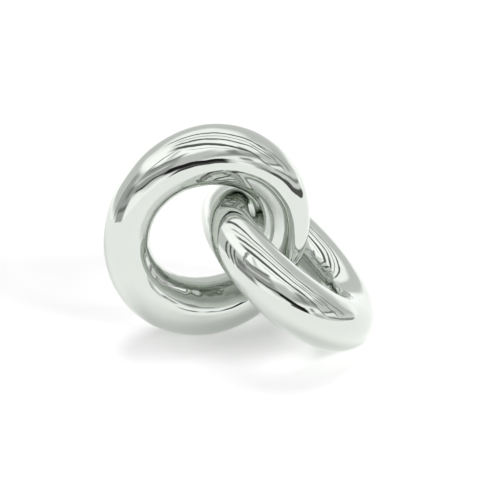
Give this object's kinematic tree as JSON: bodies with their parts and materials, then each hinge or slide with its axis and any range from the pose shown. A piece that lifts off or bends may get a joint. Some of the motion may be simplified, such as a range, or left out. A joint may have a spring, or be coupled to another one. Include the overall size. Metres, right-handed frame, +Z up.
{
  "type": "linked ring ornament",
  "caption": "Thick-tubed polished metal rings linked through each other; one stands upright, the other leans through it and turns about it on the table.",
  "frame": {"origin": "on the table top, under the centre of the standing ring", "axes": "+Z up, +X towards the leaning ring, -Y towards the viewer"},
  "size_m": [0.1868, 0.1532, 0.1532],
  "materials": {
    "polished_nickel": "mirror polished, nickel plated",
    "raw_aluminium": "turned",
    "felt": "pressed felt"
  },
  "bodies": {
    "standing_ring": {"standing_lower_shell": "polished_nickel", "standing_upper_shell": "polished_nickel", "standing_right_sleeve": "raw_aluminium", "standing_left_sleeve": "raw_aluminium", "standing_rest_pad": "felt"},
    "leaning_ring": {"leaning_lower_shell": "polished_nickel", "leaning_upper_shell": "polished_nickel", "leaning_far_sleeve": "raw_aluminium", "leaning_near_sleeve": "raw_aluminium", "leaning_rest_pad": "felt"}
  },
  "joints": [
    {"name": "leaning_ring_turn", "type": "hinge", "parent": "standing_ring", "child": "leaning_ring", "pos_m": [0.055, 0.015, 0], "axis": [0, 0, 1], "range_deg": [-55, 30]}
  ]
}
